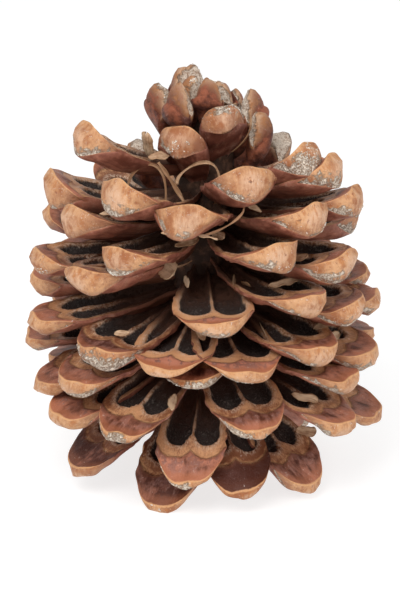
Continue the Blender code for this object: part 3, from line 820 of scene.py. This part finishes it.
def scale_end():
    """Outer face of a scale: weathered peach and orange wood, streaked, with pale crust on its lower rim."""
    finish = Finish("outer end of a scale", Specular_IOR_Level=0.35)
    sideways, _, through = finish.attribute("run")
    _, _, across = finish.attribute("marks")
    luck, tone, crusted = finish.attribute("luck")
    sideness = abs(across)
    where = finish.object_place()
    streaks = finish.noise(finish.vector(sideways, through * 1.3, luck * 40.0), 0.75, 4.0, 0.65)
    broad = finish.noise(where, 190.0, 2.5, 0.55)
    mottle = finish.noise(where, 560.0, 5.0, 0.7)
    grain = finish.noise(where, 2000.0, 4.0, 0.75)
    height_share = through + 0.1
    centre = (sideways * sideways * 0.028 + height_share * height_share * 0.9).step(1.1, 0.0)
    light = (broad - 0.5) * 1.9 + (streaks - 0.5) * 1.2 + (mottle - 0.5) * 1.0 + tone * 0.4 - 0.06
    colour = finish.mix((0.36, 0.125, 0.045), (0.67, 0.36, 0.18), (light + 0.38).step(0.0, 0.80))
    pale = centre * 0.8 + (broad - 0.5) * 1.6 + (streaks - 0.5) * 0.9 + (mottle - 0.5) * 0.9
    colour = finish.mix(colour, (0.70, 0.45, 0.31), pale.step(0.30, 1.05) * 0.65)
    warm = ((streaks - 0.5) * -2.2 + (broad - 0.5) * 1.0 + through * 0.15).step(0.10, 0.45)
    colour = finish.mix(colour, (0.55, 0.21, 0.065), warm * 0.6)
    spots = ((mottle - 0.5) * 2.0 + (broad - 0.5) * 0.9 + (grain - 0.5) * 0.7).step(0.26, 0.46)
    colour = finish.mix(colour, (0.26, 0.080, 0.036), spots * 0.75)
    lines = finish.noise(finish.vector(sideways, through * 0.8, luck * 70.0), 2.6, 3.0, 0.6)
    colour = finish.mix(colour, (0.33, 0.115, 0.050), (lines + mottle * 0.4).step(0.78, 0.90) * 0.5)
    shaded = (across * (luck * 2.0 - 1.0) + (mottle - 0.5) * 0.9 + (broad - 0.5) * 0.6).step(0.10, 0.70)
    colour = finish.mix(colour, (0.33, 0.125, 0.065), shaded * 0.55)
    corner = (sideness + (mottle - 0.5) * 0.9).step(0.66, 1.0)
    colour = finish.mix(colour, (0.35, 0.15, 0.085), corner * 0.6)
    # Painted shade: the lower rim of each outer face is darker.
    lower = (through + (mottle - 0.5) * 0.9).step(-0.55, -0.98)
    colour = finish.mix(colour, (0.33, 0.17, 0.11), lower * 0.55)
    lower_left = crusted.step(-0.2, 0.2) * 2.0 - 1.0
    crust_place = (broad - 0.5) * 2.6 + (mottle - 0.5) * 2.2 + abs(crusted) * 1.1
    crust_place -= (through * 0.75 + across * 0.45) * lower_left
    crust = crust_place.step(1.05, 1.35) * (grain + mottle * 0.5).step(0.60, 0.80)
    colour = finish.mix(colour, (0.88, 0.77, 0.64), crust * 0.85)
    dust = ((grain - 0.5) * 1.5 - (mottle - 0.5) * 1.1).step(0.16, 0.38)
    colour = finish.mix(colour, (0.84, 0.74, 0.65), dust * 0.7)
    crest_line = (through + (mottle - 0.5) * 0.3).step(0.86, 0.99) * (1.0 - corner * 0.6)
    colour = finish.mix(colour, (0.78, 0.43, 0.20), crest_line * 0.7)
    height = mottle * 0.9 + grain * 0.5 + crust * 1.2
    roughness = 0.40 + grain * 0.25 + crust * 0.25
    return finish.done(colour, roughness, finish.bump(height, 0.0006))


def knob_wood():
    """Closed scale of the knot: reddish brown body, tan and orange end, greyish crust at its very tip."""
    finish = Finish("closed scale of the knot", Specular_IOR_Level=0.35)
    _, crest, _ = finish.attribute("marks")
    _, _, through = finish.attribute("run")
    _, _, crusted = finish.attribute("luck")
    where = finish.object_place()
    tip_distance = crest + (1.0 - through) * 3.2
    broad = finish.noise(where, 230.0, 3.0, 0.55)
    mottle = finish.noise(where, 640.0, 5.0, 0.7)
    grain = finish.noise(where, 2000.0, 4.0, 0.75)
    light = (broad - 0.5) * 2.4 + (mottle - 0.5) * 1.6 + 0.42
    body = finish.mix((0.085, 0.020, 0.011), (0.34, 0.100, 0.048), light.step(0.0, 0.9))
    violet = ((broad - 0.5) * -2.0 + (mottle - 0.5) * 1.2).step(0.05, 0.4)
    body = finish.mix(body, (0.20, 0.090, 0.075), violet * 0.4)
    tip = finish.mix((0.44, 0.185, 0.075), (0.68, 0.44, 0.28), (light - 0.02).step(0.05, 0.85))
    near = (tip_distance + (broad - 0.5) * 7.0 + (mottle - 0.5) * 4.0).step(6.5, 3.2)
    colour = finish.mix(body, tip, near)
    rough = (tip_distance + (broad - 0.5) * 6.0 + (mottle - 0.5) * 5.0 - crusted * 2.0).step(2.3, 1.1)
    grey = finish.mix((0.34, 0.22, 0.15), (0.84, 0.74, 0.62), (grain + mottle).step(0.84, 1.08))
    colour = finish.mix(colour, grey, rough * 0.85)
    dust = ((grain - 0.5) * 1.4 + (mottle - 0.5) * 1.2).step(0.22, 0.42)
    colour = finish.mix(colour, (0.80, 0.62, 0.49), dust * 0.5)
    # Painted shade: the closed scale darkens towards its root, deep in the knot.
    colour = finish.mix((0.07, 0.028, 0.017), colour, tip_distance.step(25.0, 12.0))
    height = mottle * 1.2 + grain * 0.6 + rough * 1.5
    return finish.done(colour, 0.34 + grain * 0.3, finish.bump(height, 0.0007))


def flank():
    """Sides and underside of a scale: reddish brown, finely streaked, with painted shade darkening it towards
    the axis.
    """
    finish = Finish("underside of a scale", Specular_IOR_Level=0.3)
    sideways, back, _ = finish.attribute("run")
    _, crest, _ = finish.attribute("marks")
    luck, tone, _ = finish.attribute("luck")
    where = finish.object_place()
    streaks = finish.noise(finish.vector(sideways, back * 0.25, luck * 40.0), 0.8, 4.0, 0.65)
    patches = finish.noise(where, 210.0, 4.0, 0.6)
    grain = finish.noise(where, 1600.0, 4.0, 0.75)
    light = (streaks - 0.5) * 1.6 + (patches - 0.5) * 1.8 + (grain - 0.5) * 0.4 + tone * 0.4
    colour = finish.mix((0.17, 0.050, 0.030), (0.42, 0.165, 0.105), (light + 0.25).step(0.0, 1.0))
    ashy = ((patches - 0.5) * 1.6 + (grain - 0.5) * 1.4).step(0.16, 0.42)
    colour = finish.mix(colour, (0.42, 0.28, 0.21), ashy * 0.5)
    border = (crest + (patches - 0.5) * 5.0 + (grain - 0.5) * 1.0).step(2.0, -0.4)
    colour = finish.mix(colour, (0.50, 0.215, 0.10), border * 0.7)
    # Painted shade: deep among the scales the underside turns dark brown.
    colour = finish.mix((0.22, 0.080, 0.044), colour, finish.depth_shade(20.0, 36.0))
    height = streaks * 0.6 + grain * 0.4
    return finish.done(colour, 0.38 + grain * 0.25, finish.bump(height, 0.0003))


def inner_wood():
    """The woody axis: dark, dusty and finely cracked."""
    finish = Finish("wood of the axis", Specular_IOR_Level=0.3)
    where = finish.object_place()
    patches = finish.noise(where, 300.0, 5.0, 0.7)
    colour = finish.mix((0.055, 0.028, 0.018), (0.22, 0.11, 0.066), patches.step(0.45, 0.75))
    return finish.done(colour, 0.6 + patches * 0.2, finish.bump(patches, 0.0006))


def papery():
    """Seed wing: thin, dry and straw-coloured, with fine veins and browner edges."""
    finish = Finish("papery seed wing", Specular_IOR_Level=0.25)
    sideways, length, _ = finish.attribute("run")
    _, across, _ = finish.attribute("marks")
    luck, tone, _ = finish.attribute("luck")
    where = finish.object_place()
    veins = finish.noise(finish.vector(sideways, length * 0.12, luck * 30.0), 2.2, 3.0, 0.6)
    patches = finish.noise(where, 260.0, 3.0, 0.6)
    light = (veins - 0.5) * 1.5 + (patches - 0.5) * 1.6 + tone * 0.6
    colour = finish.mix((0.36, 0.19, 0.10), (0.80, 0.58, 0.38), light.step(-0.25, 0.65))
    edge = abs(across).step(0.72, 1.0)
    colour = finish.mix(colour, (0.42, 0.24, 0.12), edge * 0.6)
    return finish.done(colour, 0.45 + patches * 0.3, finish.bump(veins + patches, 0.0002))


def resin():
    """Dried resin: cream-white and crumbly, with grey-brown dirt in it."""
    finish = Finish("dried resin", Specular_IOR_Level=0.5)
    where = finish.object_place()
    lumps = finish.noise(where, 900.0, 3.0, 0.6)
    broad = finish.noise(where, 220.0, 2.0, 0.5)
    light = ((lumps - 0.5) * 1.8 + (broad - 0.5) * 1.6).step(-0.35, 0.25)
    colour = finish.mix((0.42, 0.30, 0.21), (0.84, 0.79, 0.70), light)
    return finish.done(colour, 0.30 + lumps * 0.3, finish.bump(lumps, 0.0003))


def stage():
    """Pale floor, soft studio light and the photograph's camera."""
    world = bpy.data.worlds.new("studio")
    bpy.context.scene.world = world
    world.use_nodes = True
    world.node_tree.nodes["Background"].inputs["Color"].default_value = WHITE
    world.node_tree.nodes["Background"].inputs["Strength"].default_value = SURROUND_STRENGTH

    shape = bmesh.new()
    bmesh.ops.create_grid(shape, x_segments=1, y_segments=1, size=FLOOR_HALF_SIZE)
    paper = Finish("white paper", Base_Color=(PAPER_GREY, PAPER_GREY, PAPER_GREY, 1.0), Roughness=0.9,
                   Emission_Color=WHITE, Emission_Strength=PAPER_GLOW)
    floor = linked("floor", mesh_of(shape, "floor", [paper.material]))

    for name, place, size, power in SOFTBOXES:
        lamp = bpy.data.lights.new(name, "AREA")
        lamp.size = size
        lamp.energy = power
        light = linked(name, lamp)
        light.location = place
        light.rotation_euler = (Vector(place) - Vector(SOFTBOX_TARGET)).to_track_quat("Z", "Y").to_euler()

    elevation = math.radians(CAMERA_ELEVATION)
    back = Vector((0.0, -math.cos(elevation), math.sin(elevation)))
    camera = bpy.data.cameras.new("camera")
    camera.sensor_width = SENSOR_WIDTH
    camera.lens = LENS
    stand = linked("camera", camera)
    stand.location = Vector(CAMERA_TARGET) + back * CAMERA_DISTANCE
    stand.rotation_euler = back.to_track_quat("Z", "Y").to_euler()
    bpy.context.scene.camera = stand
    bpy.context.scene.view_settings.view_transform = "Standard"


def main():
    """Makes every piece, says what each one is to the frame, then sets the stage."""
    draw = random.Random(SEED)
    full = sorted(full_scales(draw), key=lambda scale: scale.tip_height)
    knot, barren = knot_scales(draw), barren_scales(draw)
    materials = (upper_side(), scale_end(), flank())
    tiers = ("lowest_scales", "lower_scales", "upper_scales", "highest_scales")
    pieces = []
    per_tier = math.ceil(len(full) / len(tiers))
    for index, name in enumerate(tiers):
        tier = full[index * per_tier:(index + 1) * per_tier]
        pieces.append(scale_piece(name, tier, FULL_STEPS, materials))
    knob = knob_wood()
    fingers = [scale for scale in knot if not scale.knob]
    knobs = [scale for scale in knot if scale.knob]
    pieces.append(scale_piece("knot_scales", fingers, KNOT_STEPS, materials))
    pieces.append(scale_piece("knot_knobs", knobs, KNOT_STEPS, (knob, knob, knob)))
    pieces.append(scale_piece("barren_scales", barren, BARREN_STEPS, materials))
    pieces.append(axis_piece(inner_wood()))
    for piece in pieces:
        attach(piece, "root")
        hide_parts("cone")
    wing = papery()
    wings = (("seed_flakes", flakes(full), FLAKE_STEPS),
             ("wing_strands", [Strand(*row) for row in STRANDS], STRAND_STEPS))
    for name, items, steps in wings:
        extra = scale_piece(name, items, steps, (wing, wing, wing))
        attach(extra, "root")
    crumbs = resin_crumbs(full + knot, resin())
    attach(crumbs, "root")
    stage()


main()
